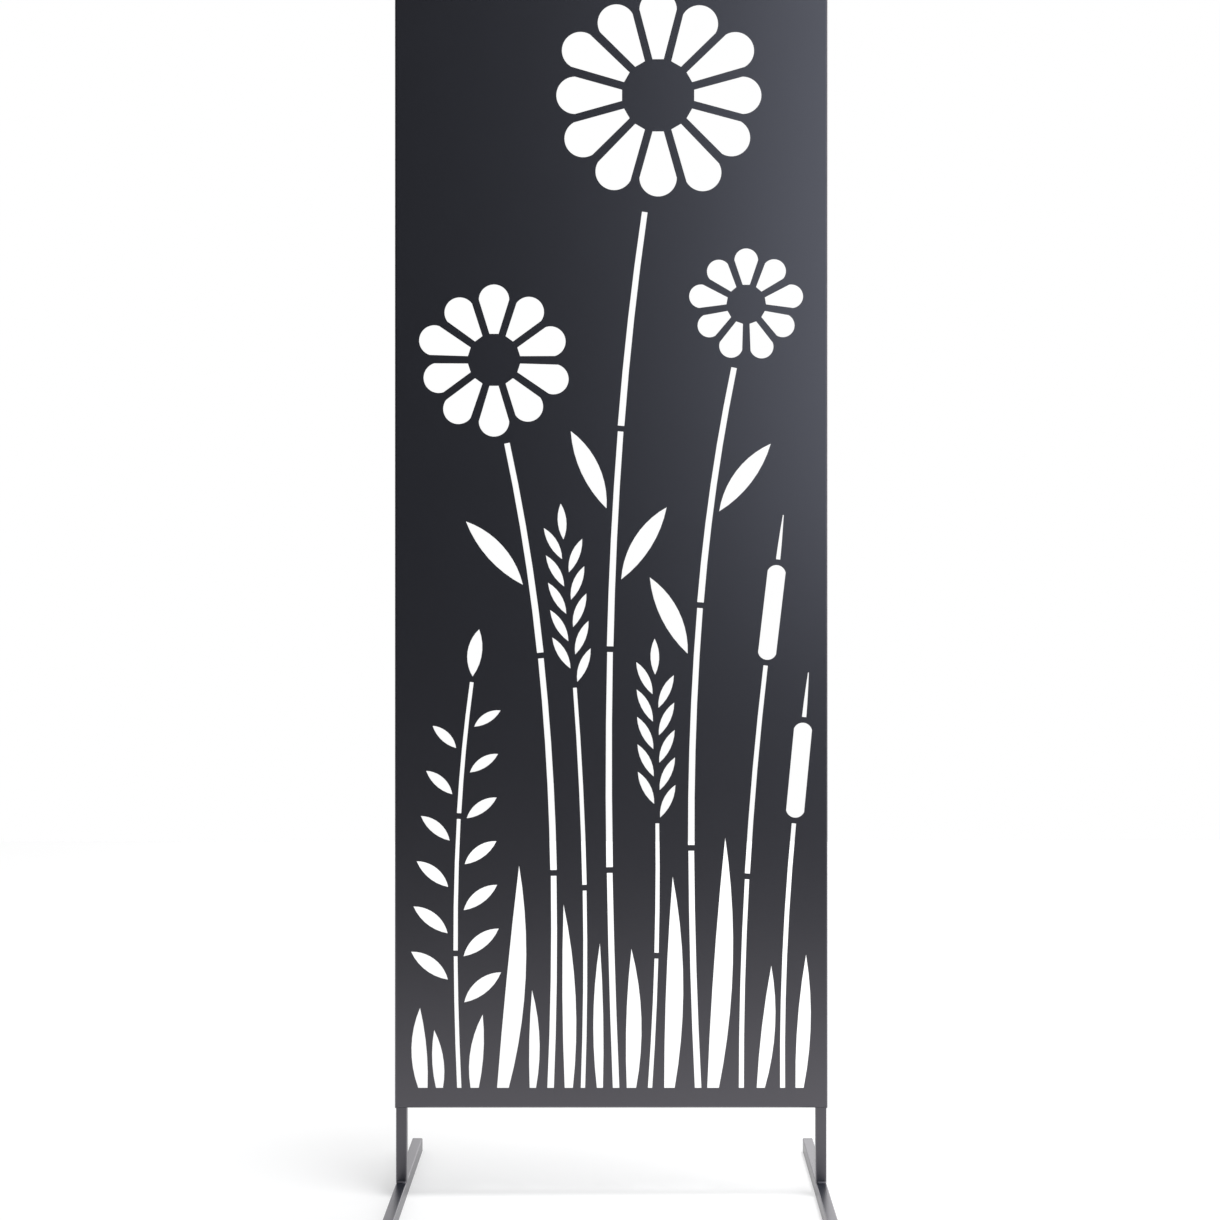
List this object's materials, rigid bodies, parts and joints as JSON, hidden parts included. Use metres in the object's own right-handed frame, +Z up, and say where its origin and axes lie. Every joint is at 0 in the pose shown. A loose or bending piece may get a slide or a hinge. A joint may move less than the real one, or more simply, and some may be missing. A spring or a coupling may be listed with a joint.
{
  "type": "garden screen panel",
  "caption": "Tall free-standing sheet-steel garden screen with plant-shaped cut-outs, folded edges and square-tube legs on cross feet.",
  "frame": {"origin": "on the ground, midway between the two feet", "axes": "+Z up, +X to the right of a person facing the panel's front, +Y from the front face to the back"},
  "size_m": [0.6, 0.4, 1.8],
  "materials": {
    "powder_coat": "satin anthracite powder coat",
    "cap_plastic": "moulded black polyethylene",
    "zinc_steel": "bright zinc plate"
  },
  "bodies": {
    "root": {"panel": "powder_coat", "left_post": "powder_coat", "right_post": "powder_coat", "left_foot": "powder_coat", "right_foot": "powder_coat", "weld_beads": "powder_coat", "left_foot_front_cap": "cap_plastic", "left_foot_rear_cap": "cap_plastic", "right_foot_front_cap": "cap_plastic", "right_foot_rear_cap": "cap_plastic", "left_post_plug": "cap_plastic", "right_post_plug": "cap_plastic", "rivet_nuts": "zinc_steel", "screws": "zinc_steel", "washers": "zinc_steel"}
  },
  "joints": []
}
